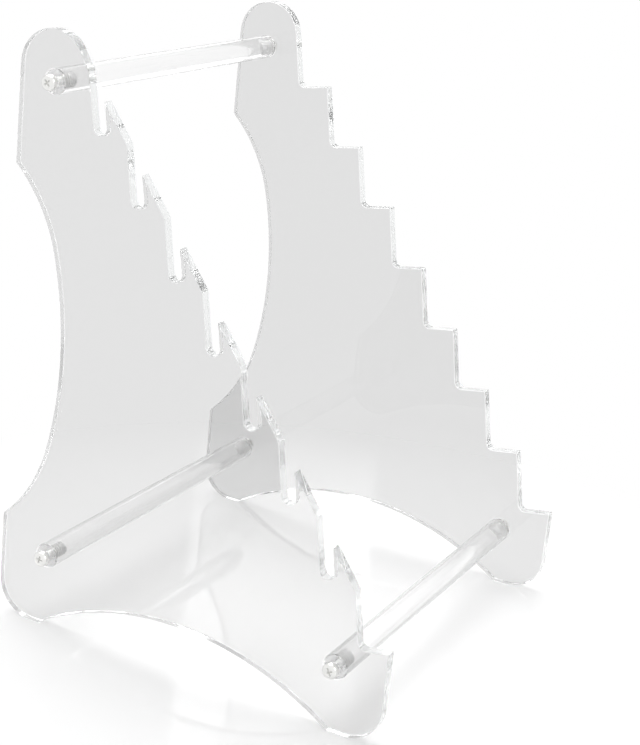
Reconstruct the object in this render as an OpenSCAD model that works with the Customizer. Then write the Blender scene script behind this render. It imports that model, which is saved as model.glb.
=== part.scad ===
// Tiered display stand of clear sheet and rod.
// Two upright side panels are held apart by three round rods, and a small screw
// through the panel holds each rod end. The front edge of one panel has narrow
// slots between pointed teeth, and that of the other has open steps.
// Millimetres. X runs along the rods, Y from front to rear and Z up. The origin
// lies on the table, under the middle of the stand.

/* [Frame] */
// Clear distance between the panels, which is the length of the rods
rod_length = 100; // [60:1:200]
// Diameter of the rods
rod_d = 6.35; // [5:0.05:8]
// Thickness of the panels
sheet_t = 3; // [2:0.5:6]

/* [Steps] */
// Number of levels, from the lowest ledge to the top one
level_count = 8; // [6:1:10]
// Depth of a level along its ledge
step_run = 9; // [8:0.25:11]
// Height of a level, square to its ledge
step_rise = 17; // [15:0.5:20]
// Fall of the ledges toward the rear, in degrees
step_tilt = 9.6; // [0:0.2:15]
// Height of the lowest ledge's outer corner above the table
front_ledge_h = 24.3; // [22:0.1:40]
// Radius in the inner corner of a ledge
ledge_fillet_r = 1.9; // [0.5:0.1:4]
// Radius on the outer corners of the ledges above the lowest one
ledge_nose_r = 0.4; // [0.1:0.1:2]

/* [Slots] */
// Width of a slot, which has a round bottom
slot_w = 3.75; // [2:0.25:5]
// Depth of a slot below the line of its ledge
slot_drop = 0.8; // [0:0.1:3]
// Height of a slot's front wall above the line of its ledge
slot_front_h = 7.2; // [4:0.1:9]
// Height of a slot's rear wall above the line of its ledge
slot_rear_h = 14.2; // [11:0.1:15]
// Distance of a slot's rear wall in front of the riser line
slot_inset = 1.3; // [0.8:0.1:2]

/* [Top and rear edge] */
// Distance from the top ledge's outer corner to the rear edge
top_depth = 29.6; // [26:0.1:36]
// Height of the top above the top ledge's outer corner
top_rise = 21.2; // [19:0.1:26]
// Distance from the top down to the upper corner of the rear cut
rear_edge_drop = 33.6; // [25:0.1:45]
// Depth of the rear cut behind the line through its two corners
rear_cut_depth = 15.5; // [8:0.5:24]
// Radius of the rear cut's middle, as a share of one plain arc's radius
rear_cut_mid_share = 1.36; // [1.1:0.01:1.6]
// Radius of the rear cut's ends, as a share of one plain arc's radius
rear_cut_end_share = 0.56; // [0.4:0.01:0.8]

/* [Feet] */
// Distance of the rear foot's edge in front of the rear edge
rear_foot_inset = 1.2; // [0:0.1:6]
// Height of the rear foot's edge, up to the lower corner of the rear cut
rear_foot_h = 27.2; // [22:0.1:34]
// Length of the rear foot along the table
rear_foot_length = 12.5; // [11:0.1:24]
// Length of the front foot along the table
front_foot_length = 13.6; // [11:0.1:24]
// Radius of each foot's outer corner
foot_r = 9.5; // [2:0.1:10.5]
// Height of the arch between the feet
arch_h = 12.5; // [4:0.1:14]

/* [Rod places] */
// Distance of the top rod's axis in front of the rear edge
top_rod_inset = 9; // [7:0.1:12]
// Distance of the top rod's axis below the top
top_rod_drop = 12.7; // [8:0.1:16]
// Distance of the rear rod's axis in front of the rear foot's edge
rear_rod_inset = 13; // [8:0.1:14]
// Height of the rear rod's axis above the table
rear_rod_h = 18.4; // [14:0.1:22]
// Distance of the front rod's axis behind the front edge
front_rod_inset = 13.8; // [9:0.1:16]
// Height of the front rod's axis above the table
front_rod_h = 15.9; // [14:0.1:18]

/* [Screws] */
// Diameter of the screws' shank
screw_d = 2; // [1.6:0.1:3]
// Depth that a screw reaches into its rod
screw_grip = 5; // [3:0.5:10]
// Diameter of the screws' head
screw_head_d = 4; // [3.5:0.1:6]
// Height of the screws' head
screw_head_h = 1.6; // [1.2:0.1:2.4]
// Radius of the head's rounded rim
screw_rim_r = 1; // [0.3:0.1:1.1]
// Span of the cross recess at the top of the head
recess_span = 2.2; // [1.6:0.1:2.8]
// Width of the arms of the cross recess
recess_arm_w = 0.6; // [0.3:0.05:0.8]
// Depth of the cross recess
recess_depth = 0.9; // [0.5:0.05:1.1]

/* [Fits] */
// Difference in diameter between a panel's hole and the screw's shank
hole_clearance = 0.2; // [0.1:0.05:0.6]
// Difference in diameter between a rod's threaded hole and the screw's shank
thread_clearance = 0.05; // [0.02:0.01:0.1]
// Depth of a rod's hole beyond the screw's tip
hole_tip_space = 1; // [0.5:0.1:3]

/* [Hidden] */
$fn = 96;

// Colours of clear sheet, clear rod and bright steel
sheet_colour = [0.86, 0.89, 0.91, 0.55];
rod_colour = [0.93, 0.95, 0.96, 0.6];
screw_colour = [0.78, 0.78, 0.76];

// Reach of a cutting shape beyond the face that it works on
overlap = 0.3;

// Extra radius of each arc that runs on from a straight edge or another arc, so
// that the two cross cleanly and don't just touch
arc_ease = 0.003;

// Height and front-to-rear reach of the levels below the top one
lowest = level_count - 1;
levels_h = lowest * (step_rise * cos(step_tilt) - step_run * sin(step_tilt));
levels_depth = lowest * (step_run * cos(step_tilt) + step_rise * sin(step_tilt));

// Size of a panel and the places of its edges
panel_depth = levels_depth + top_depth;
panel_h = front_ledge_h + levels_h + top_rise;
front_y = -panel_depth / 2;
rear_y = panel_depth / 2;
foot_rear_y = rear_y - rear_foot_inset;
top_ledge = [rear_y - top_depth, panel_h - top_rise];

// Slot walls, measured along a ledge from its outer corner
slot_rear = step_run - slot_inset;
slot_front = slot_rear - slot_w;
slot_centre_h = slot_w / 2 - slot_drop;

// Round lobe at the top, which touches the top, the rear edge and the last riser
lobe_r = (top_depth * cos(step_tilt) - top_rise * sin(step_tilt) - step_run)
    / (1 + cos(step_tilt) - sin(step_tilt));
lobe = [rear_y - lobe_r, panel_h - lobe_r];

// Rear cut: a wide middle arc between two tighter ones, through both corners
cut_top = [rear_y, panel_h - rear_edge_drop];
cut_bottom = [foot_rear_y, rear_foot_h];
cut_half = norm(cut_top - cut_bottom) / 2;
cut_lean = atan2(cut_bottom.x - cut_top.x, cut_top.y - cut_bottom.y);
plain_arc_r = (cut_half ^ 2 + rear_cut_depth ^ 2) / (2 * rear_cut_depth);
cut_mid_r = rear_cut_mid_share * plain_arc_r;
cut_end_r = rear_cut_end_share * plain_arc_r;

// Angle from the middle of the rear cut to where the tighter arcs take over
centre_gap = cut_mid_r - cut_end_r;
corner_reach = norm([cut_mid_r - rear_cut_depth, cut_half]);
cut_blend = atan2(cut_half, cut_mid_r - rear_cut_depth)
    - acos((centre_gap ^ 2 + corner_reach ^ 2 - cut_end_r ^ 2) / (2 * centre_gap * corner_reach));

// Arch between the feet
arch_half = (panel_depth - rear_foot_inset - rear_foot_length - front_foot_length) / 2;
arch_y = front_y + front_foot_length + arch_half;
arch_r = (arch_half ^ 2 + arch_h ^ 2) / (2 * arch_h);

// Rod axes, as distances from front to rear and up
top_rod_at = [rear_y - top_rod_inset, panel_h - top_rod_drop];
rear_rod_at = [foot_rear_y - rear_rod_inset, rear_rod_h];
front_rod_at = [front_y + front_rod_inset, front_rod_h];
rods_at = [top_rod_at, rear_rod_at, front_rod_at];

// Screws and the holes that they need
screw_length = sheet_t + screw_grip;
panel_hole_d = screw_d + hole_clearance;
rod_hole_d = screw_d + thread_clearance;
rod_hole_depth = screw_grip + hole_tip_space;

// Cone that the drill leaves at the end of a rod's hole, bevel at a screw's tip,
// and span of the cross recess at its bottom
hole_cone_h = rod_hole_d / 3;
screw_tip_bevel = screw_d / 4;
recess_floor_span = recess_span / 2;

// Point of a level, along its ledge from the outer corner and square to it.
// Level 0 is the top one.
function level_point(level, along, up) =
    let (run = along - level * step_run, rise = up - level * step_rise)
    top_ledge + [
        run * cos(step_tilt) + rise * sin(step_tilt),
        rise * cos(step_tilt) - run * sin(step_tilt)
    ];

// Direction from the lobe's middle to where a line from a point in front of it
// touches its upper side
function touch_angle(from) =
    let (away = from - lobe)
    atan2(away.y, away.x) - acos(lobe_r / norm(away));

// Point at a distance and direction from the lobe's middle
function from_lobe(distance, angle) = lobe + distance * [cos(angle), sin(angle)];

// Straight lines round the lobe at a distance from its middle, from the given
// direction over the top to the rear edge
function round_lobe(distance, start) = [
    from_lobe(distance, start),
    from_lobe(distance / cos(start / 2 - 45), start / 2 + 45),
    from_lobe(distance / cos(45), 45),
    from_lobe(distance, 0)
];

// Inner corner of a ledge, cut across where its fillet begins and ends
function inner_corner(level, corner) = [
    level_point(level, corner - ledge_fillet_r, 0),
    level_point(level, corner, ledge_fillet_r)
];

// Front edge with open steps, from the lowest ledge up to the lobe
function stepped_edge() = [
    for (level = [lowest:-1:0])
        each [level_point(level, 0, 0), each inner_corner(level, step_run)]
];

// Front edge with slots and teeth over one plain ledge, up to the lobe
function slotted_edge() = [
    level_point(lowest, 0, 0),
    each inner_corner(lowest, slot_rear),
    level_point(lowest, slot_rear, slot_rear_h),
    for (level = [lowest - 1:-1:0])
        each [
            level_point(level, slot_front, slot_front_h),
            level_point(level, slot_front, slot_centre_h),
            level_point(level, slot_rear, slot_centre_h),
            level_point(level, slot_rear, slot_rear_h)
        ]
];

// Area between a square corner at the origin and the arc that rounds it
module corner_area(r) {
    difference() {
        translate([-overlap, -overlap]) square(r + overlap);
        translate([r, r]) circle(r + arc_ease);
    }
}

// Places its children on a level, with X along the ledge and Y square to it
module on_level(level, along, up) {
    translate(level_point(level, along, up)) rotate(-step_tilt) children();
}

// Hollow of the fillet in the inner corner of a ledge
module ledge_fillet(level, corner) {
    on_level(level, corner - ledge_fillet_r, ledge_fillet_r) circle(ledge_fillet_r + arc_ease);
}

// Round bottom of a slot
module slot_bottom(level) {
    on_level(level, slot_rear - slot_w / 2, slot_centre_h) circle(slot_w / 2 + arc_ease);
}

// Waste off the outer corner of a ledge
module ledge_nose(level) {
    on_level(level, 0, 0) mirror([0, 1]) corner_area(ledge_nose_r);
}

// Waste round the lobe, outside its arc
module lobe_waste(start) {
    difference() {
        polygon([lobe, each round_lobe(lobe_r + overlap, start)]);
        translate(lobe) circle(lobe_r + arc_ease);
    }
}

// Concave cut in the rear edge
module rear_cut() {
    wedge = cut_mid_r + overlap;
    translate((cut_top + cut_bottom) / 2) rotate(cut_lean) translate([-rear_cut_depth, 0]) {
        intersection() {
            translate([cut_mid_r, 0]) circle(cut_mid_r);
            polygon([
                [cut_mid_r, 0],
                [cut_mid_r - wedge, wedge * tan(cut_blend)],
                [cut_mid_r - wedge, -wedge * tan(cut_blend)]
            ]);
        }
        for (side = [-1, 1])
            translate([cut_mid_r - centre_gap * cos(cut_blend), side * centre_gap * sin(cut_blend)])
                circle(cut_end_r + arc_ease);
    }
}

// Panel profile with what both panels share: the lobe that starts at the given
// direction, the rear cut, the arch, the foot corners and the screw holes.
// The children are cut out as well.
module panel_profile(front_edge, lobe_start) {
    difference() {
        polygon([
            [front_y, 0],
            each front_edge,
            each round_lobe(lobe_r, lobe_start),
            cut_top,
            cut_bottom,
            [foot_rear_y, 0]
        ]);
        lobe_waste(lobe_start);
        rear_cut();
        translate([arch_y, arch_h - arch_r]) circle(arch_r);
        translate([front_y, 0]) corner_area(foot_r);
        translate([foot_rear_y, 0]) mirror([1, 0]) corner_area(foot_r);
        for (at = rods_at)
            translate(at) circle(d = panel_hole_d);
        children();
    }
}

// Sheet on edge, from the given place outward along X
module upright_sheet(inner_x) {
    translate([inner_x, 0, 0]) rotate([90, 0, 90]) linear_extrude(sheet_t) children();
}

// Panel with slots, on the left side
module slotted_panel() {
    color(sheet_colour)
        upright_sheet(-rod_length / 2 - sheet_t)
            panel_profile(slotted_edge(), touch_angle(level_point(0, slot_rear, slot_rear_h))) {
                ledge_fillet(lowest, slot_rear);
                for (level = [0:lowest - 1])
                    slot_bottom(level);
            }
}

// Panel with open steps, on the right side
module stepped_panel() {
    color(sheet_colour)
        upright_sheet(rod_length / 2)
            panel_profile(stepped_edge(), 180 - step_tilt) {
                for (level = [0:lowest])
                    ledge_fillet(level, step_run);
                for (level = [0:lowest - 1])
                    ledge_nose(level);
            }
}

// Rod between the panels, with a blind threaded hole in each end
module rod(at) {
    color(rod_colour)
        translate([0, at.x, at.y])
            difference() {
                rotate([0, 90, 0]) cylinder(d = rod_d, h = rod_length, center = true);
                for (side = [-1, 1])
                    translate([side * rod_length / 2, 0, 0]) rotate([0, -90 * side, 0]) rod_hole();
            }
}

// Threaded hole, drawn plain, with the drill's cone at its end
module rod_hole() {
    translate([0, 0, -overlap]) cylinder(d = rod_hole_d, h = rod_hole_depth + overlap);
    translate([0, 0, rod_hole_depth]) cylinder(d1 = rod_hole_d, d2 = 0, h = hole_cone_h);
}

module top_rod() {
    rod(top_rod_at);
}

module rear_rod() {
    rod(rear_rod_at);
}

module front_rod() {
    rod(front_rod_at);
}

// One arm of the cross recess, narrower toward its bottom
module recess_arm() {
    rotate([90, 0, 0])
        linear_extrude(recess_arm_w, center = true)
            polygon([
                [-recess_span / 2, overlap],
                [-recess_span / 2, 0],
                [-recess_floor_span / 2, -recess_depth],
                [recess_floor_span / 2, -recess_depth],
                [recess_span / 2, 0],
                [recess_span / 2, overlap]
            ]);
}

// Screw that points down, with the underside of its pan head at the origin
module screw() {
    difference() {
        rotate_extrude()
            difference() {
                union() {
                    square([screw_head_d / 2, screw_head_h]);
                    polygon([
                        [0, overlap],
                        [screw_d / 2, overlap],
                        [screw_d / 2, screw_tip_bevel - screw_length],
                        [screw_d / 2 - screw_tip_bevel, -screw_length],
                        [0, -screw_length]
                    ]);
                }
                translate([screw_head_d / 2, screw_head_h]) rotate(180) corner_area(screw_rim_r);
            }
        for (turn = [0, 90])
            translate([0, 0, screw_head_h]) rotate(turn) recess_arm();
    }
}

// The screws, one at each end of each rod
module panel_screws() {
    color(screw_colour)
        for (side = [-1, 1], at = rods_at)
            translate([side * (rod_length / 2 + sheet_t), at.x, at.y]) rotate([0, 90 * side, 0]) screw();
}

slotted_panel();
stepped_panel();
top_rod();
rear_rod();
front_rod();
panel_screws();
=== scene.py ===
"""Studio scene of a tiered display stand of clear acrylic.

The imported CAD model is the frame. Each visible piece is built here on the place
and outline of its CAD node, with the detail that the plain solids leave out:
broken arrises and laser-cut walls on the panels, faced ends and tapped holes in
the rods, and threads on the screws.
"""

import logging
import math
from dataclasses import dataclass, field
from enum import Enum, IntEnum
from typing import Any, ClassVar

import bmesh
import bpy
from mathutils import Matrix, Vector
from mathutils.geometry import tessellate_polygon


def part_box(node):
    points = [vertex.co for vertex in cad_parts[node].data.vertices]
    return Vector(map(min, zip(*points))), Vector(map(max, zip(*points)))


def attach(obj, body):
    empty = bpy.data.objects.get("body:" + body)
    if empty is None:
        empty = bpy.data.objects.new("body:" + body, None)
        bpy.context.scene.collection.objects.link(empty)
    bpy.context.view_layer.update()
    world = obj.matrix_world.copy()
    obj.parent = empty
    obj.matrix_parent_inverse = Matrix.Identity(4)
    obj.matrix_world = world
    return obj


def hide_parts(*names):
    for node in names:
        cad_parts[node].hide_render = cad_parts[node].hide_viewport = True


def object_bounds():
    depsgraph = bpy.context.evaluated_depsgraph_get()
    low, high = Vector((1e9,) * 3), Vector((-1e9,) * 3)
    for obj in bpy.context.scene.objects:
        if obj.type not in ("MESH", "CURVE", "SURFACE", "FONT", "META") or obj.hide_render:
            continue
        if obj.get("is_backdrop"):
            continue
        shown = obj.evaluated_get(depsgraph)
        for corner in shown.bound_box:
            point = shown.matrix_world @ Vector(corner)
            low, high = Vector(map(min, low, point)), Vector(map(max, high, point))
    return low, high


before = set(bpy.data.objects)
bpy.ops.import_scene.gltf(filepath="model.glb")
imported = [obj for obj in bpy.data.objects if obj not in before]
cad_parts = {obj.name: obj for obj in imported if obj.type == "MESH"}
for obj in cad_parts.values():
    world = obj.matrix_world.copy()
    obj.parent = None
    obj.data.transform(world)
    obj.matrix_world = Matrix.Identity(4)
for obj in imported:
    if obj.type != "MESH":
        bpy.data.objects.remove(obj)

LOG = logging.getLogger("stand")

# One millimetre and one degree in Blender's units.
MM = 0.001
DEGREE = math.pi / 180

# Angle between two faces above which the edge of a turned piece stays sharp.
SHARP_ANGLE = 30 * DEGREE

# The photograph's frame and the sensor that its longer side is measured on.
IMAGE_WIDTH_PX = 640
IMAGE_HEIGHT_PX = 745
SENSOR_MM = 36.0

Point2 = tuple[float, float]
Ring = list[bmesh.types.BMVert]


class Side(Enum):
    """Which end of the stand a piece is on, as the sign of its X."""

    LEFT = -1
    RIGHT = 1


class Slot(Enum):
    """Material slots of the record."""

    SHEET = "clear_sheet"
    ROD = "clear_rod"
    STEEL = "bright_steel"


class PanelFinish(IntEnum):
    """Order of the finishes in a panel's mesh."""

    CLEAR = 0
    EDGE = 1
    # Inner face in painted grey, for the backdrop seen through the clear sheet.
    PAINTED_GREY = 2


class RodFinish(IntEnum):
    """Order of the finishes in a rod's mesh."""

    ROUND = 0
    END = 1
    HOLE = 2


def linear_colour(hex_colour: str) -> tuple[float, float, float, float]:
    """Turns an sRGB hex colour into the linear colour that Blender's sockets hold.

    Args:
        hex_colour: Six hex digits with a leading hash sign.

    Returns:
        Linear red, green and blue, and an alpha of 1.
    """
    values = [int(hex_colour[i:i + 2], 16) / 255 for i in (1, 3, 5)]
    linear = [v / 12.92 if v <= 0.04045 else ((v + 0.055) / 1.055) ** 2.4 for v in values]
    return (*linear, 1.0)


def add_node(
    tree: bpy.types.NodeTree,
    kind: str,
    settings: dict[str | int, Any] | None = None,
    links: dict[str | int, bpy.types.NodeSocket] | None = None,
) -> bpy.types.Node:
    """Adds a node with its settings and its incoming links.

    Args:
        tree: Node tree that gets the node.
        kind: Blender's type name of the node.
        settings: Values by name or number of the input, or by name of a property.
        links: Sockets of other nodes by name or number of the input they feed.

    Returns:
        The new node.
    """
    node = tree.nodes.new(kind)
    for name, value in (settings or {}).items():
        if isinstance(name, str) and hasattr(node, name):
            setattr(node, name, value)
        else:
            node.inputs[name].default_value = value
    for name, socket in (links or {}).items():
        tree.links.new(socket, node.inputs[name])
    return node


def new_material(name: str) -> tuple[bpy.types.Material, bpy.types.NodeTree]:
    """Makes a material with an empty node tree.

    Args:
        name: Name of the material.

    Returns:
        The material and its node tree.
    """
    material = bpy.data.materials.new(name)
    material.use_nodes = True
    material.node_tree.nodes.clear()
    return material, material.node_tree


def object_place(tree: bpy.types.NodeTree, stretch: tuple[float, float, float]) -> bpy.types.NodeSocket:
    """Adds the piece's own coordinates in millimetres, scaled along each axis.

    Args:
        tree: Node tree that gets the nodes.
        stretch: Factor along X, Y and Z; below 1 draws a pattern out.

    Returns:
        The socket with the scaled place.
    """
    place = add_node(tree, "ShaderNodeTexCoord")
    scale = tuple(s / MM for s in stretch)
    mapping = add_node(
        tree,
        "ShaderNodeMapping",
        {"Scale": scale},
        {"Vector": place.outputs["Object"]},
    )
    return mapping.outputs["Vector"]


class SheetFace(Enum):
    """Side of the sheet: name and colour that light takes on there.

    The real sheet is clear. Its light grey is painted in: it stands for the grey
    backdrop seen through the clear sheet, and lies on the inner face alone. The rods'
    ends are drawn up against that face, and their discs are left clear as painted
    light, so that the rods' ends show white through the grey from every side.
    """

    CLEAR = ("cast_acrylic_polished_clear", "#FEFEFE")
    # Painted grey: it stands for the grey backdrop seen through the clear sheet.
    PAINTED_GREY = ("cast_acrylic_painted_backdrop_grey", "#C7C7C7")


@dataclass(frozen=True)
class PolishedCastAcrylic:
    """Faces of cast acrylic sheet, as it comes from between glass plates.

    They are flat and glossy, broken only by a faint swell and a few wiping marks.
    The even light grey of the inner face is painted in, as the grey of a backdrop
    seen through the clear sheet.
    """

    side: SheetFace
    # Index of refraction of acrylic.
    ior: float = 1.49
    # Roughness of the polished face, and what the wiping marks add to it.
    roughness: float = 0.012
    wiped_roughness: float = 0.05
    # Distance between the swells of the face, and their height.
    swell_mm: float = 24.0
    swell_height_mm: float = 0.012
    # Length and width of the wiping marks.
    mark_length_mm: float = 30.0
    mark_width_mm: float = 0.5
    # Range of the noise over which a wiping mark sets in.
    mark_noise: tuple[float, float] = (0.62, 0.8)

    def material(self) -> bpy.types.Material:
        """Builds the material.

        Returns:
            The finished material.
        """
        name, colour = self.side.value
        material, tree = new_material(name)
        swell = add_node(
            tree,
            "ShaderNodeTexNoise",
            {"Scale": 1 / self.swell_mm, "Detail": 1.0, "Roughness": 0.3},
            {"Vector": object_place(tree, (1, 1, 1))},
        )
        marks = add_node(
            tree,
            "ShaderNodeTexNoise",
            {"Scale": 1.0, "Detail": 2.0, "Roughness": 0.6},
            {"Vector": object_place(tree, (1, 1 / self.mark_length_mm, 1 / self.mark_width_mm))},
        )
        roughness = add_node(
            tree,
            "ShaderNodeMapRange",
            {
                "From Min": self.mark_noise[0],
                "From Max": self.mark_noise[1],
                "To Min": self.roughness,
                "To Max": self.wiped_roughness,
            },
            {"Value": marks.outputs["Fac"]},
        )
        bump = add_node(
            tree,
            "ShaderNodeBump",
            {"Strength": 1.0, "Distance": self.swell_height_mm * MM},
            {"Height": swell.outputs["Fac"]},
        )
        shader = add_node(
            tree,
            "ShaderNodeBsdfPrincipled",
            {
                "Base Color": linear_colour(colour),
                "Transmission Weight": 1.0,
                "IOR": self.ior,
            },
            {"Roughness": roughness.outputs["Result"], "Normal": bump.outputs["Normal"]},
        )
        add_node(tree, "ShaderNodeOutputMaterial", links={"Surface": shader.outputs["BSDF"]})
        return material


@dataclass(frozen=True)
class LaserCutAcrylicEdge:
    """Walls and arrises of acrylic sheet, as the laser leaves them.

    The melted wall is nearly clear, with fine drag lines across the thickness. It
    gathers light from all over the sheet, so every edge draws itself as a white band.
    """

    # A trace of grey keeps the edges in sight before a white backdrop.
    colour: str = "#F9FAFA"
    ior: float = 1.49
    # Share of the light that passes the wall; the frost scatters the rest.
    clear_share: float = 0.9
    roughness: float = 0.04
    line_roughness: float = 0.12
    # Spacing of the drag lines along the cut, about twice the real 0.25 mm, so
    # that they show in the picture at all.
    line_spacing_mm: float = 0.5
    line_depth_mm: float = 0.002
    # Range of the noise over which a line sets in.
    line_noise: tuple[float, float] = (0.3, 0.7)

    def material(self) -> bpy.types.Material:
        """Builds the material.

        Returns:
            The finished material.
        """
        material, tree = new_material("cast_acrylic_laser_cut_edge")
        run = add_node(tree, "ShaderNodeAttribute", {"attribute_name": SidePanel.RUN_ATTRIBUTE})
        lines = add_node(
            tree,
            "ShaderNodeTexNoise",
            {"noise_dimensions": "1D", "Scale": 1 / (self.line_spacing_mm * MM), "Detail": 3.0},
            {"W": run.outputs["Fac"]},
        )
        roughness = add_node(
            tree,
            "ShaderNodeMapRange",
            {
                "From Min": self.line_noise[0],
                "From Max": self.line_noise[1],
                "To Min": self.roughness,
                "To Max": self.line_roughness,
            },
            {"Value": lines.outputs["Fac"]},
        )
        bump = add_node(
            tree,
            "ShaderNodeBump",
            {"Strength": 1.0, "Distance": self.line_depth_mm * MM},
            {"Height": lines.outputs["Fac"]},
        )
        shader = add_node(
            tree,
            "ShaderNodeBsdfPrincipled",
            {
                "Base Color": linear_colour(self.colour),
                "Transmission Weight": self.clear_share,
                "IOR": self.ior,
            },
            {"Roughness": roughness.outputs["Result"], "Normal": bump.outputs["Normal"]},
        )
        add_node(tree, "ShaderNodeOutputMaterial", links={"Surface": shader.outputs["BSDF"]})
        return material


@dataclass(frozen=True)
class ExtrudedAcrylicRod:
    """Round of extruded acrylic rod, drawn through a die.

    It is clearer than the sheet. Faint die lines along it break the reflections
    into soft streaks.
    """

    # A trace of grey keeps the rods in sight before a white backdrop.
    colour: str = "#FBFBFB"
    ior: float = 1.49
    # Share of the light that passes; the haze of the extruded rod scatters the rest.
    clear_share: float = 0.97
    roughness: float = 0.1
    line_roughness: float = 0.3
    # Width of the die lines round the rod, and how far one runs along it.
    line_width_mm: float = 0.35
    line_length_mm: float = 60.0
    line_depth_mm: float = 0.006
    # Range of the noise over which a line sets in.
    line_noise: tuple[float, float] = (0.45, 0.75)

    def material(self) -> bpy.types.Material:
        """Builds the material.

        Returns:
            The finished material.
        """
        material, tree = new_material("extruded_acrylic_rod")
        stretch = (1 / self.line_length_mm, 1 / self.line_width_mm, 1 / self.line_width_mm)
        lines = add_node(
            tree,
            "ShaderNodeTexNoise",
            {"Scale": 1.0, "Detail": 2.0, "Roughness": 0.5},
            {"Vector": object_place(tree, stretch)},
        )
        roughness = add_node(
            tree,
            "ShaderNodeMapRange",
            {
                "From Min": self.line_noise[0],
                "From Max": self.line_noise[1],
                "To Min": self.roughness,
                "To Max": self.line_roughness,
            },
            {"Value": lines.outputs["Fac"]},
        )
        bump = add_node(
            tree,
            "ShaderNodeBump",
            {"Strength": 1.0, "Distance": self.line_depth_mm * MM},
            {"Height": lines.outputs["Fac"]},
        )
        shader = add_node(
            tree,
            "ShaderNodeBsdfPrincipled",
            {
                "Base Color": linear_colour(self.colour),
                "Transmission Weight": self.clear_share,
                "IOR": self.ior,
            },
            {"Roughness": roughness.outputs["Result"], "Normal": bump.outputs["Normal"]},
        )
        add_node(tree, "ShaderNodeOutputMaterial", links={"Surface": shader.outputs["BSDF"]})
        return material


class RodTooling(Enum):
    """How a machined surface of a rod was made: name, clear share, roughness."""

    FACED_END = ("extruded_acrylic_faced_end", 0.97, 0.2)
    TAPPED_HOLE = ("extruded_acrylic_tapped_hole", 0.05, 0.5)


@dataclass(frozen=True)
class MachinedAcrylic:
    """Ends and tapped holes of the rods, as the lathe and the tap leave them.

    A faced end is satin clear, so the screw's thread shows softly behind it. The
    tap tears the acrylic, so a tapped hole looks solid white through the rod.
    """

    tooling: RodTooling
    colour: str = "#FEFEFE"
    ior: float = 1.49
    # Feed of the cut, about twice the real one so that it shows.
    feed_mm: float = 0.2
    mark_depth_mm: float = 0.003

    def material(self) -> bpy.types.Material:
        """Builds the material.

        Returns:
            The finished material.
        """
        name, clear_share, roughness = self.tooling.value
        material, tree = new_material(name)
        marks = add_node(
            tree,
            "ShaderNodeTexNoise",
            {"Scale": 1 / self.feed_mm, "Detail": 2.0},
            {"Vector": object_place(tree, (1, 1, 1))},
        )
        bump = add_node(
            tree,
            "ShaderNodeBump",
            {"Strength": 1.0, "Distance": self.mark_depth_mm * MM},
            {"Height": marks.outputs["Fac"]},
        )
        shader = add_node(
            tree,
            "ShaderNodeBsdfPrincipled",
            {
                "Base Color": linear_colour(self.colour),
                "Transmission Weight": clear_share,
                "IOR": self.ior,
                "Roughness": roughness,
            },
            {"Normal": bump.outputs["Normal"]},
        )
        add_node(tree, "ShaderNodeOutputMaterial", links={"Surface": shader.outputs["BSDF"]})
        return material


@dataclass(frozen=True)
class BrightZincPlatedSteel:
    """Cold-headed steel screw with bright zinc plating.

    It mirrors the studio softly, with fine grain from the plating.
    """

    colour: str = "#EDEDEB"
    roughness: float = 0.14
    grain_roughness: float = 0.26
    # Grain of the plating, coarser than the real 0.02 mm so that it shows.
    grain_mm: float = 0.15
    grain_depth_mm: float = 0.001
    # Range of the noise over which a grain sets in.
    grain_noise: tuple[float, float] = (0.35, 0.7)

    def material(self) -> bpy.types.Material:
        """Builds the material.

        Returns:
            The finished material.
        """
        material, tree = new_material("steel_bright_zinc_plated")
        grain = add_node(
            tree,
            "ShaderNodeTexNoise",
            {"Scale": 1 / self.grain_mm, "Detail": 2.0},
            {"Vector": object_place(tree, (1, 1, 1))},
        )
        roughness = add_node(
            tree,
            "ShaderNodeMapRange",
            {
                "From Min": self.grain_noise[0],
                "From Max": self.grain_noise[1],
                "To Min": self.roughness,
                "To Max": self.grain_roughness,
            },
            {"Value": grain.outputs["Fac"]},
        )
        bump = add_node(
            tree,
            "ShaderNodeBump",
            {"Strength": 1.0, "Distance": self.grain_depth_mm * MM},
            {"Height": grain.outputs["Fac"]},
        )
        shader = add_node(
            tree,
            "ShaderNodeBsdfPrincipled",
            {"Base Color": linear_colour(self.colour), "Metallic": 1.0},
            {"Roughness": roughness.outputs["Result"], "Normal": bump.outputs["Normal"]},
        )
        add_node(tree, "ShaderNodeOutputMaterial", links={"Surface": shader.outputs["BSDF"]})
        return material


def new_piece(name: str, mesh_builder: bmesh.types.BMesh, sharp_angle: float) -> bpy.types.Object:
    """Turns a bmesh into an object, smooth apart from its sharp edges.

    Args:
        name: Name of the piece.
        mesh_builder: Its geometry, which is freed.
        sharp_angle: Angle between two faces above which their edge stays sharp.

    Returns:
        The new object, linked to the scene.
    """
    bmesh.ops.recalc_face_normals(mesh_builder, faces=mesh_builder.faces)
    for face in mesh_builder.faces:
        face.smooth = True
    for edge in mesh_builder.edges:
        edge.smooth = edge.is_manifold and edge.calc_face_angle(0.0) < sharp_angle
    mesh = bpy.data.meshes.new(name)
    mesh_builder.to_mesh(mesh)
    mesh_builder.free()
    piece = bpy.data.objects.new(name, mesh)
    bpy.context.scene.collection.objects.link(piece)
    return piece


def settle(piece: bpy.types.Object, node: str) -> None:
    """Lets a piece stand for its CAD node and ride on the stand's one body.

    Args:
        piece: The finished piece.
        node: Name of the CAD node that it replaces.
    """
    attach(piece, "root")
    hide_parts(node)


def join_rings(builder: bmesh.types.BMesh, rings: list[Ring], material_index: int = 0) -> None:
    """Joins rings one after the other with faces.

    Args:
        builder: Mesh that gets the faces.
        rings: Rings with the same number of vertices.
        material_index: Material slot of the faces.
    """
    for ring, further in zip(rings, rings[1:]):
        count = len(ring)
        for i in range(count):
            j = (i + 1) % count
            face = builder.faces.new((ring[i], ring[j], further[j], further[i]))
            face.material_index = material_index


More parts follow.
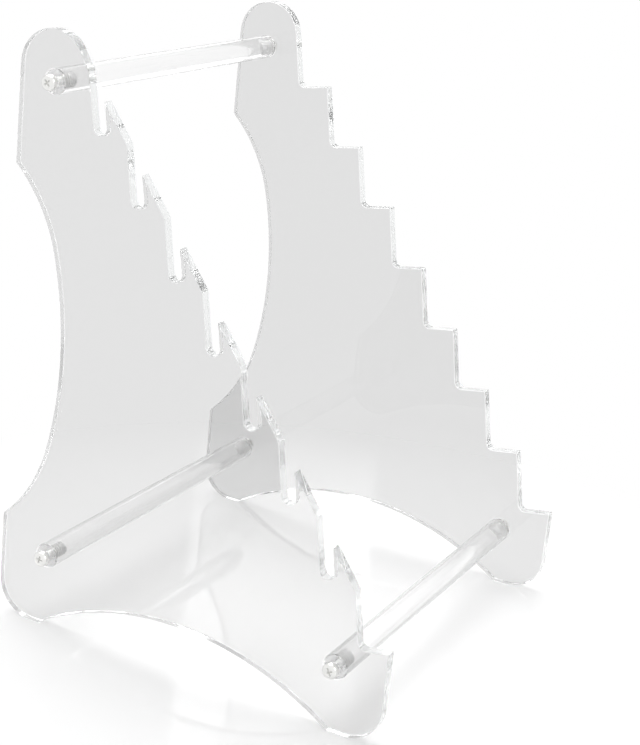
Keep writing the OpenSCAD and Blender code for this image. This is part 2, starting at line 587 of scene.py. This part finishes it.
@dataclass
class SidePanel:
    """One upright side panel, cut from sheet to the outline of its CAD node."""

    node: str
    clear_finish: bpy.types.Material
    edge_finish: bpy.types.Material
    painted_grey_finish: bpy.types.Material
    # Radius of the disc of sheet that a rod's end is drawn up against. The disc is
    #     left out of the painted grey, as painted light that makes the rod's end show white.
    seat_radius: float = 3.175 * MM
    seat_segments: int = 72
    # Width of the small broken arris between a face and the cut wall.
    arris: float = 0.14 * MM
    # Angle between two wall facets up to which they are one curve.
    curve_angle: float = 14 * DEGREE
    # Points of the CAD mesh that are this near to each other are one point.
    weld_distance: float = 0.001 * MM
    # X of its normal above which a face is flat sheet, and below which it is wall.
    flat_normal: float = 0.99
    wall_normal: float = 0.5
    # Least cosine by which the arris is divided in a sharp corner.
    mitre_limit: float = 0.3

    # Name under which the mesh holds the distance along the cut, for the drag lines.
    RUN_ATTRIBUTE: ClassVar[str] = "run_along_cut"

    def outlines(self) -> list[list[Point2]]:
        """Reads the panel's outline and its screw holes from the CAD node.

        Returns:
            Closed loops of (y, z), the outer one first.
        """
        source = bmesh.new()
        source.from_mesh(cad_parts[self.node].data)
        bmesh.ops.remove_doubles(source, verts=source.verts, dist=self.weld_distance)
        rim = [edge for edge in source.edges if self._is_rim(edge)]
        # Each point of the rim has two neighbours, so a walk along them closes a loop.
        neighbours: dict[bmesh.types.BMVert, list[bmesh.types.BMVert]] = {}
        for edge in rim:
            for vert in edge.verts:
                neighbours.setdefault(vert, []).append(edge.other_vert(vert))
        loops = []
        while neighbours:
            start = min(neighbours, key=lambda vert: vert.index)
            loop = [start]
            step = neighbours[start][0]
            while step is not start:
                ahead = [v for v in neighbours[step] if v is not loop[-1]]
                loop.append(step)
                step = ahead[0]
            for vert in loop:
                del neighbours[vert]
            loops.append([(vert.co.y, vert.co.z) for vert in loop])
        source.free()
        loops.sort(key=lambda loop: -abs(self._area(loop)))
        loops[0] = self._turned(loops[0], 1)
        return [loops[0]] + [self._turned(loop, -1) for loop in loops[1:]]

    def _is_rim(self, edge: bmesh.types.BMEdge) -> bool:
        """Tells whether an edge lies between the higher-X face and a wall."""
        along_x = sorted(face.normal.x for face in edge.link_faces)
        return along_x[-1] > self.flat_normal and along_x[0] < self.wall_normal

    @staticmethod
    def _area(loop: list[Point2]) -> float:
        """Gives a loop's area, above 0 where it runs counterclockwise."""
        ahead = loop[1:] + loop[:1]
        return sum(a[0] * b[1] - b[0] * a[1] for a, b in zip(loop, ahead)) / 2

    def _turned(self, loop: list[Point2], sign: int) -> list[Point2]:
        """Gives the loop so that its area has the wanted sign."""
        return loop if self._area(loop) * sign > 0 else loop[::-1]

    def _inset(self, loop: list[Point2]) -> list[Point2]:
        """Moves a loop into the material by the arris.

        Args:
            loop: Closed loop with the material on its left.

        Returns:
            The moved loop, point for point.
        """
        moved = []
        count = len(loop)
        for i, here in enumerate(loop):
            point = Vector(here)
            before = (point - Vector(loop[i - 1])).normalized()
            after = (Vector(loop[(i + 1) % count]) - point).normalized()
            normals = [Vector((-edge.y, edge.x)) for edge in (before, after)]
            middle = (normals[0] + normals[1]).normalized()
            reach = self.arris / max(self.mitre_limit, middle.dot(normals[0]))
            moved.append(tuple(point + middle * reach))
        return moved

    def build(self) -> bpy.types.Object:
        """Builds the panel with its faces, arrises and cut walls.

        Returns:
            The dressed piece.
        """
        loops = self.outlines()
        insets = [self._inset(loop) for loop in loops]
        low, high = (corner.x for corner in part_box(self.node))
        builder = bmesh.new()
        run_layer = builder.verts.layers.float.new(self.RUN_ATTRIBUTE)
        rims: list[tuple[Ring, Ring]] = []
        for loop, inset in zip(loops, insets):
            rings = [
                self._ring(builder, run_layer, inset, low),
                self._ring(builder, run_layer, loop, low + self.arris),
                self._ring(builder, run_layer, loop, high - self.arris),
                self._ring(builder, run_layer, inset, high),
            ]
            rims.append((rings[0], rings[-1]))
            join_rings(builder, rings, PanelFinish.EDGE)
        # Of the faces at low and at high X, one is turned to the rods.
        outer, inner = (0, 1) if high < 0 else (1, 0)
        self._fill(builder, [rim[outer] for rim in rims], PanelFinish.CLEAR)
        inner_x = (low, high)[inner]
        # The inner face takes the painted grey, apart from a clear disc round each screw hole: painted
        # light, so that the rod's end behind it shows white.
        seats = [self._ring(builder, run_layer, self._seat(hole), inner_x) for hole in insets[1:]]
        self._fill(builder, [rims[0][inner], *seats], PanelFinish.PAINTED_GREY)
        for seat, hole in zip(seats, rims[1:]):
            self._fill(builder, [seat, hole[inner]], PanelFinish.CLEAR)
        piece = new_piece(self.node + "_cut_sheet", builder, self.curve_angle)
        for finish in (self.clear_finish, self.edge_finish, self.painted_grey_finish):
            piece.data.materials.append(finish)
        settle(piece, self.node)
        return piece

    def _seat(self, hole: list[Point2]) -> list[Point2]:
        """Gives the circle that a rod's end covers round a screw hole.

        Args:
            hole: Loop of the screw hole.

        Returns:
            Loop that turns the same way as the hole.
        """
        middle = [sum(point[i] for point in hole) / len(hole) for i in range(2)]
        turns = [-2 * math.pi * i / self.seat_segments for i in range(self.seat_segments)]
        return [
            (
                middle[0] + self.seat_radius * math.cos(turn),
                middle[1] + self.seat_radius * math.sin(turn),
            )
            for turn in turns
        ]

    @staticmethod
    def _fill(builder: bmesh.types.BMesh, rings: list[Ring], material_index: int) -> None:
        """Fills the flat face between an outer ring and the rings inside it.

        Args:
            builder: Mesh that gets the faces.
            rings: Outer ring first.
            material_index: Material slot of the faces.
        """
        verts = [vert for ring in rings for vert in ring]
        flat = [[Vector((vert.co.y, vert.co.z, 0)) for vert in ring] for ring in rings]
        for corners in tessellate_polygon(flat):
            face = builder.faces.new([verts[i] for i in corners])
            face.material_index = material_index

    @staticmethod
    def _ring(
        builder: bmesh.types.BMesh,
        run_layer: bmesh.types.BMLayerItem,
        loop: list[Point2],
        x: float,
    ) -> Ring:
        """Adds a loop's points at one X, each with its run along the cut.

        Args:
            builder: Mesh that gets the points.
            run_layer: Layer for the distance along the loop.
            loop: Points as (y, z).
            x: Where along X the loop lies.

        Returns:
            The new vertices in order.
        """
        ring = []
        run = 0.0
        for i, point in enumerate(loop):
            vert = builder.verts.new((x, *point))
            if i:
                run += math.dist(point, loop[i - 1])
            vert[run_layer] = run
            ring.append(vert)
        return ring


@dataclass(frozen=True)
class FormedThread:
    """Thread of a thread-forming screw and of the hole that it makes."""

    pitch: float = 0.8 * MM
    depth: float = 0.22 * MM
    samples_per_turn: int = 10
    # Slope of the ridge's flanks, in depths for each pitch.
    flank_slope: float = 3.2

    def radii(
        self,
        crest: float,
        along: float,
        length: float,
        segments: int,
        hand: int = 1,
    ) -> list[float]:
        """Gives the radii of the threaded surface at one place along it.

        Args:
            crest: Radius at the crests.
            along: Distance from the thread's start.
            length: Length of the whole thread.
            segments: Number of steps round the axis.
            hand: Sign of the way in which the steps go round.

        Returns:
            The radius at each step.
        """
        fade = max(0.0, min(1.0, along / self.pitch, (length - along) / self.pitch))
        radii = []
        for i in range(segments):
            turn = (along / self.pitch - hand * i / segments) % 1
            ridge = max(0.0, 1 - abs(turn - 0.5) * self.flank_slope)
            radii.append(crest - self.depth * (1 - ridge * fade))
        return radii

    def stations(self, length: float) -> list[float]:
        """Gives the places of the rings along a thread of this length."""
        count = max(2, round(length / self.pitch * self.samples_per_turn))
        return [length * i / count for i in range(count + 1)]


def lathe_ring(builder: bmesh.types.BMesh, along: float, radii: list[float]) -> Ring:
    """Adds a ring of vertices round the Z axis.

    Args:
        builder: Mesh that gets the vertices.
        along: Height of the ring.
        radii: Radius at each step round.

    Returns:
        The new vertices in order.
    """
    count = len(radii)
    ring = []
    for i, radius in enumerate(radii):
        angle = 2 * math.pi * i / count
        ring.append(builder.verts.new((radius * math.cos(angle), radius * math.sin(angle), along)))
    return ring


def plain_ring(builder: bmesh.types.BMesh, along: float, radius: float, segments: int) -> Ring:
    """Adds a round ring round the Z axis."""
    return lathe_ring(builder, along, [radius] * segments)


def cap(builder: bmesh.types.BMesh, ring: Ring, along: float, material_index: int = 0) -> None:
    """Closes a ring with a fan to a point on the axis.

    Args:
        builder: Mesh that gets the faces.
        ring: Ring to close.
        along: Height of the point.
        material_index: Material slot of the faces.
    """
    tip = builder.verts.new((0, 0, along))
    count = len(ring)
    for i in range(count):
        face = builder.faces.new((ring[i], ring[(i + 1) % count], tip))
        face.material_index = material_index


@dataclass
class SpacerRod:
    """Clear rod between the panels, with a threaded hole in each end."""

    node: str
    round_finish: bpy.types.Material
    end_finish: bpy.types.Material
    hole_finish: bpy.types.Material
    thread: FormedThread
    # Small chamfer round each end, and the film of air between rod and panel.
    chamfer: float = 0.25 * MM
    air_gap: float = 0.02 * MM
    # Threaded hole that the screw has formed.
    hole_radius: float = 1.02 * MM
    hole_depth: float = 6.0 * MM
    drill_cone: float = 0.7 * MM
    segments: int = 72

    def build(self) -> bpy.types.Object:
        """Builds the rod along Z, turns it along X and puts it in its place.

        Returns:
            The dressed piece.
        """
        low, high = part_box(self.node)
        middle = (low + high) / 2
        radius = (high.z - low.z) / 2
        half = (high.x - low.x) / 2 - self.air_gap
        builder = bmesh.new()
        profile = (
            (-half, radius - self.chamfer),
            (-half + self.chamfer, radius),
            (half - self.chamfer, radius),
            (half, radius - self.chamfer),
        )
        outer = [plain_ring(builder, *station, self.segments) for station in profile]
        join_rings(builder, outer, RodFinish.ROUND)
        for side in Side:
            end = outer[0] if side is Side.LEFT else outer[-1]
            hole = self._hole(builder, half, side)
            bottom = side.value * (half - self.hole_depth - self.drill_cone)
            join_rings(builder, [end, hole[0]], RodFinish.END)
            join_rings(builder, hole, RodFinish.HOLE)
            cap(builder, hole[-1], bottom, RodFinish.HOLE)
        piece = new_piece(self.node + "_acrylic", builder, SHARP_ANGLE)
        piece.data.transform(Matrix.Translation(middle) @ Matrix.Rotation(math.pi / 2, 4, "Y"))
        for finish in (self.round_finish, self.end_finish, self.hole_finish):
            piece.data.materials.append(finish)
        settle(piece, self.node)
        return piece

    def _hole(self, builder: bmesh.types.BMesh, half: float, side: Side) -> list[Ring]:
        """Adds the rings of one threaded hole, from its mouth inward.

        Args:
            builder: Mesh that gets the rings.
            half: Half of the rod's length.
            side: Which end the hole is in.

        Returns:
            The rings in order.
        """
        rings = []
        for depth in self.thread.stations(self.hole_depth):
            radii = self.thread.radii(
                self.hole_radius,
                depth,
                self.hole_depth,
                self.segments,
                side.value,
            )
            rings.append(lathe_ring(builder, side.value * (half - depth), radii))
        return rings


@dataclass
class PanHeadScrew:
    """Small pan-head screw through a panel into the end of a rod."""

    finish: bpy.types.Material
    thread: FormedThread
    head_radius: float = 2.0 * MM
    head_height: float = 1.6 * MM
    rim_radius: float = 1.0 * MM
    shank_radius: float = 0.98 * MM
    shank_length: float = 8.0 * MM
    tip_length: float = 0.9 * MM
    tip_radius: float = 0.25 * MM
    # Film between the head and the panel that it is pulled against.
    seat_gap: float = 0.02 * MM
    # Cross recess: span and width of its arms at the top and the bottom.
    recess_span: float = 2.2 * MM
    recess_floor_span: float = 1.0 * MM
    recess_width: float = 0.6 * MM
    recess_floor_width: float = 0.4 * MM
    recess_depth: float = 0.9 * MM
    # Height by which the recess's cutter stands out of the head.
    cutter_spare: float = 0.3 * MM
    segments: int = 48
    rim_steps: int = 8

    def build(self, name: str, side: Side, at: Point2, turn: float) -> bpy.types.Object:
        """Builds one screw in its place.

        Args:
            name: Name of the piece.
            side: Which panel the screw goes through.
            at: Its axis as (y, z).
            turn: Angle that its recess has stopped at.

        Returns:
            The dressed piece.
        """
        piece = new_piece(name, self._blank(), SHARP_ANGLE)
        cutter = new_piece(name + "_cutter", self._recess(), SHARP_ANGLE)
        cut = piece.modifiers.new("cross_recess", "BOOLEAN")
        cut.operation = "DIFFERENCE"
        cut.solver = "EXACT"
        cut.object = cutter
        bpy.context.view_layer.update()
        evaluated = piece.evaluated_get(bpy.context.evaluated_depsgraph_get())
        finished = bpy.data.meshes.new_from_object(evaluated)
        piece.modifiers.clear()
        blank = piece.data
        piece.data = finished
        bpy.data.meshes.remove(blank)
        bpy.data.objects.remove(cutter)
        outer_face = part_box("slotted_panel")[0].x if side is Side.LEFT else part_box("stepped_panel")[1].x
        place = Matrix.Translation((outer_face, *at))
        aim = Matrix.Rotation(side.value * math.pi / 2, 4, "Y")
        piece.data.transform(place @ aim @ Matrix.Rotation(turn, 4, "Z"))
        piece.data.materials.clear()
        piece.data.materials.append(self.finish)
        settle(piece, "panel_screws")
        return piece

    def _blank(self) -> bmesh.types.BMesh:
        """Makes the screw without its recess, pointing down from the origin.

        Returns:
            The closed blank.
        """
        builder = bmesh.new()
        rings = []
        for step in range(self.rim_steps + 1):
            angle = math.pi / 2 * step / self.rim_steps
            radius = self.head_radius - self.rim_radius * (1 - math.sin(angle))
            height = self.head_height - self.rim_radius * (1 - math.cos(angle))
            rings.append(plain_ring(builder, height, radius, self.segments))
        rings.append(plain_ring(builder, self.seat_gap, self.head_radius, self.segments))
        rings.append(plain_ring(builder, self.seat_gap, self.shank_radius, self.segments))
        threaded = self.shank_length - self.tip_length
        for along in self.thread.stations(threaded):
            radii = self.thread.radii(self.shank_radius, along, threaded, self.segments)
            rings.append(lathe_ring(builder, -along, radii))
        rings.append(plain_ring(builder, -self.shank_length, self.tip_radius, self.segments))
        join_rings(builder, rings)
        cap(builder, rings[0], self.head_height)
        cap(builder, rings[-1], -self.shank_length)
        return builder

    def _recess(self) -> bmesh.types.BMesh:
        """Makes the cutter for the cross recess.

        Returns:
            A closed cross that narrows toward its bottom.
        """
        builder = bmesh.new()
        top = self.head_height + self.cutter_spare
        bottom = self.head_height - self.recess_depth
        rings = []
        for along, span, width in (
            (top, self.recess_span, self.recess_width),
            (self.head_height, self.recess_span, self.recess_width),
            (bottom, self.recess_floor_span, self.recess_floor_width),
        ):
            rings.append([builder.verts.new((*corner, along)) for corner in self._cross(span, width)])
        join_rings(builder, rings)
        cap(builder, rings[0], top)
        cap(builder, rings[-1], bottom)
        return builder

    @staticmethod
    def _cross(span: float, width: float) -> list[Point2]:
        """Gives the twelve corners of a cross.

        Args:
            span: Length of each arm from end to end.
            width: Width of the arms.

        Returns:
            The corners in order.
        """
        corners = []
        for quarter in range(4):
            turn = Matrix.Rotation(quarter * math.pi / 2, 2)
            for point in ((span / 2, -width / 2), (span / 2, width / 2), (width / 2, width / 2)):
                corners.append(tuple(turn @ Vector(point)))
        return corners


@dataclass
class AreaLamp:
    """One softbox, aimed at the stand."""

    name: str
    place: tuple[float, float, float]
    size: tuple[float, float]
    radiance: float
    colour: str = "#FFFFFF"

    def build(self, target: Vector) -> bpy.types.Object:
        """Hangs the softbox and aims it.

        Args:
            target: Point that it faces.

        Returns:
            The lamp object.
        """
        data = bpy.data.lights.new(self.name, "AREA")
        data.shape = "RECTANGLE"
        data.size, data.size_y = self.size
        data.energy = self.radiance * math.pi * self.size[0] * self.size[1]
        data.color = linear_colour(self.colour)[:3]
        lamp = bpy.data.objects.new(self.name, data)
        lamp.location = self.place
        lamp.rotation_euler = (target - Vector(self.place)).to_track_quat("-Z", "Y").to_euler()
        bpy.context.scene.collection.objects.link(lamp)
        return lamp


@dataclass
class Camera:
    """Camera at the place that the photograph was taken from."""

    # Place, the image's right and up, the focal length and the pixel on the lens's
    # axis, as the fit to the two panels gave them.
    place_mm: tuple[float, float, float] = (-378.43, -189.87, 209.80)
    right: tuple[float, float, float] = (0.50081, -0.86127, 0.08606)
    up: tuple[float, float, float] = (0.21435, 0.21974, 0.95172)
    focal_px: float = 1709.89
    axis_px: tuple[float, float] = (250.0, 316.21)
    # Nearest and furthest distance that it sees, in metres.
    nearest: float = 0.01
    furthest: float = 50.0

    def build(self) -> bpy.types.Object:
        """Sets up the camera and makes it the scene's own.

        Returns:
            The camera object.
        """
        long_side = max(IMAGE_WIDTH_PX, IMAGE_HEIGHT_PX)
        data = bpy.data.cameras.new("photo_camera")
        data.sensor_fit = "AUTO"
        data.sensor_width = SENSOR_MM
        data.lens = self.focal_px / long_side * SENSOR_MM
        data.shift_x = (IMAGE_WIDTH_PX / 2 - self.axis_px[0]) / long_side
        data.shift_y = (self.axis_px[1] - IMAGE_HEIGHT_PX / 2) / long_side
        data.clip_start = self.nearest
        data.clip_end = self.furthest
        right = Vector(self.right).normalized()
        up = (Vector(self.up) - right * right.dot(Vector(self.up))).normalized()
        axes = Matrix((right, up, right.cross(up))).transposed()
        camera = bpy.data.objects.new("photo_camera", data)
        camera.matrix_world = Matrix.Translation(Vector(self.place_mm) * MM) @ axes.to_4x4()
        bpy.context.scene.collection.objects.link(camera)
        bpy.context.scene.camera = camera
        return camera


@dataclass
class Studio:
    """Plain pale floor, white backdrop and soft light."""

    # White of the room and its backdrop.
    white: str = "#FFFFFF"
    # Level of the even light from the room; the softboxes add the rest.
    room_level: float = 0.5
    # Level of the backdrop, as the camera, gloss and the clear pieces see it.
    backdrop_level: float = 1.0
    # Light that the floor throws back, and how it fades into the white backdrop
    # round a point a little in front of the stand's middle.
    floor_colour: str = "#FFFFFF"
    floor_roughness: float = 0.06
    floor_size: float = 12.0
    fade_middle: tuple[float, float, float] = (-0.01, -0.015, 0.0)
    fade_from: float = 0.0
    fade_to: float = 0.15
    # The floor lies a hair below the feet, so that the two don't share a plane.
    floor_gap: float = 0.03 * MM
    # Light that enters an edge is turned back some thirty times between the faces
    # of the sheet before it leaves, and with fewer turns the edges go dark.
    light_bounces: int = 64
    lamps: list[AreaLamp] = field(
        default_factory=lambda: [
            AreaLamp("overhead_softbox", (0.25, 0.3, 1.0), (1.0, 1.0), 3.3),
            AreaLamp("front_softbox", (-0.25, -1.35, 0.9), (0.7, 0.7), 2.2),
            # Its mirror image in the floor is the light band under the panels.
            AreaLamp("rear_strip_softbox", (1.16, 0.588, 0.66), (0.2, 0.38), 2.0),
        ]
    )

    def build(self) -> None:
        """Builds the room round the stand."""
        scene = bpy.context.scene
        scene.view_settings.view_transform = "Standard"
        scene.cycles.max_bounces = self.light_bounces
        scene.cycles.transmission_bounces = self.light_bounces
        scene.cycles.glossy_bounces = self.light_bounces
        self._world(scene)
        self._floor()
        low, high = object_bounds()
        for lamp in self.lamps:
            lamp.build((Vector(low) + Vector(high)) / 2)

    @staticmethod
    def _backdrop_rays(tree: bpy.types.NodeTree) -> bpy.types.NodeSocket:
        """Adds the test for the rays that show the backdrop itself.

        Args:
            tree: Node tree that gets the nodes.

        Returns:
            Socket that is 1 for camera, glossy and transmission rays.
        """
        path = add_node(tree, "ShaderNodeLightPath")
        mirrored = add_node(
            tree,
            "ShaderNodeMath",
            {"operation": "MAXIMUM"},
            {0: path.outputs["Is Camera Ray"], 1: path.outputs["Is Glossy Ray"]},
        )
        seen = add_node(
            tree,
            "ShaderNodeMath",
            {"operation": "MAXIMUM"},
            {0: mirrored.outputs[0], 1: path.outputs["Is Transmission Ray"]},
        )
        return seen.outputs[0]

    def _world(self, scene: bpy.types.Scene) -> None:
        """Gives the scene its white backdrop and even light.

        Args:
            scene: Scene that gets the world.
        """
        world = bpy.data.worlds.new("white_room")
        world.use_nodes = True
        # An even room is found by the rays themselves, and is then seen by each
        # kind of ray as it should be.
        world.cycles.sampling_method = "NONE"
        tree = world.node_tree
        tree.nodes.clear()
        light = add_node(
            tree,
            "ShaderNodeBackground",
            {"Color": linear_colour(self.white), "Strength": self.room_level},
        )
        backdrop = add_node(
            tree,
            "ShaderNodeBackground",
            {"Color": linear_colour(self.white), "Strength": self.backdrop_level},
        )
        mix = add_node(
            tree,
            "ShaderNodeMixShader",
            links={
                0: self._backdrop_rays(tree),
                1: light.outputs["Background"],
                2: backdrop.outputs["Background"],
            },
        )
        add_node(tree, "ShaderNodeOutputWorld", links={"Surface": mix.outputs["Shader"]})
        scene.world = world

    def _floor(self) -> None:
        """Lays the floor, which keeps the shadow and fades into white."""
        builder = bmesh.new()
        bmesh.ops.create_grid(builder, x_segments=1, y_segments=1, size=self.floor_size / 2)
        floor = new_piece("studio_floor", builder, SHARP_ANGLE)
        floor.location.z = -self.floor_gap
        material, tree = new_material("gloss_white_laminate_floor")
        place = add_node(tree, "ShaderNodeTexCoord")
        distance = add_node(
            tree,
            "ShaderNodeVectorMath",
            {"operation": "DISTANCE", 1: self.fade_middle},
            {0: place.outputs["Object"]},
        )
        fade = add_node(
            tree,
            "ShaderNodeMapRange",
            {"From Min": self.fade_from, "From Max": self.fade_to},
            {"Value": distance.outputs["Value"]},
        )
        share = add_node(
            tree,
            "ShaderNodeMath",
            {"operation": "MULTIPLY"},
            {0: fade.outputs["Result"], 1: self._backdrop_rays(tree)},
        )
        laminate = add_node(
            tree,
            "ShaderNodeBsdfPrincipled",
            {
                "Base Color": linear_colour(self.floor_colour),
                "Roughness": self.floor_roughness,
            },
        )
        backdrop = add_node(
            tree,
            "ShaderNodeEmission",
            {"Color": linear_colour(self.white), "Strength": self.backdrop_level},
        )
        mix = add_node(
            tree,
            "ShaderNodeMixShader",
            links={
                0: share.outputs[0],
                1: laminate.outputs["BSDF"],
                2: backdrop.outputs["Emission"],
            },
        )
        add_node(tree, "ShaderNodeOutputMaterial", links={"Surface": mix.outputs["Shader"]})
        material.cycles.emission_sampling = "NONE"
        floor.data.materials.append(material)
        floor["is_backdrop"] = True


@dataclass
class DisplayStand:
    """The whole stand: two panels, three rods and six screws."""

    thread: FormedThread = FormedThread()
    # Angle by which each screw's recess has stopped further round than the last.
    recess_turn: float = 40 * DEGREE

    def build(self) -> None:
        """Builds every piece and reports it through the log."""
        clear = PolishedCastAcrylic(SheetFace.CLEAR).material()
        # The grey face is painted, standing for the backdrop seen through the clear sheet.
        grey = PolishedCastAcrylic(SheetFace.PAINTED_GREY).material()
        edge = LaserCutAcrylicEdge().material()
        for node in ("slotted_panel", "stepped_panel"):
            self._report(SidePanel(node, clear, edge, grey).build())
        rod_round = ExtrudedAcrylicRod().material()
        rod_end = MachinedAcrylic(RodTooling.FACED_END).material()
        rod_hole = MachinedAcrylic(RodTooling.TAPPED_HOLE).material()
        rods = ("top_rod", "rear_rod", "front_rod")
        for node in rods:
            self._report(SpacerRod(node, rod_round, rod_end, rod_hole, self.thread).build())
        steel = BrightZincPlatedSteel().material()
        screw = PanHeadScrew(steel, self.thread)
        turn = 0.0
        for side in Side:
            for node in rods:
                low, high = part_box(node)
                axis = ((low.y + high.y) / 2, (low.z + high.z) / 2)
                turn += self.recess_turn
                name = f"{side.name.lower()}_{node.removesuffix('_rod')}_screw"
                self._report(screw.build(name, side, axis, turn))

    @staticmethod
    def _report(piece: bpy.types.Object) -> None:
        """Logs a finished piece."""
        LOG.info("%s: %d faces", piece.name, len(piece.data.polygons))


def main() -> None:
    """Builds the camera, the studio and the stand."""
    logging.basicConfig(level=logging.INFO)
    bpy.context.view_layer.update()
    Camera().build()
    Studio().build()
    DisplayStand().build()


if __name__ == "__main__":
    main()
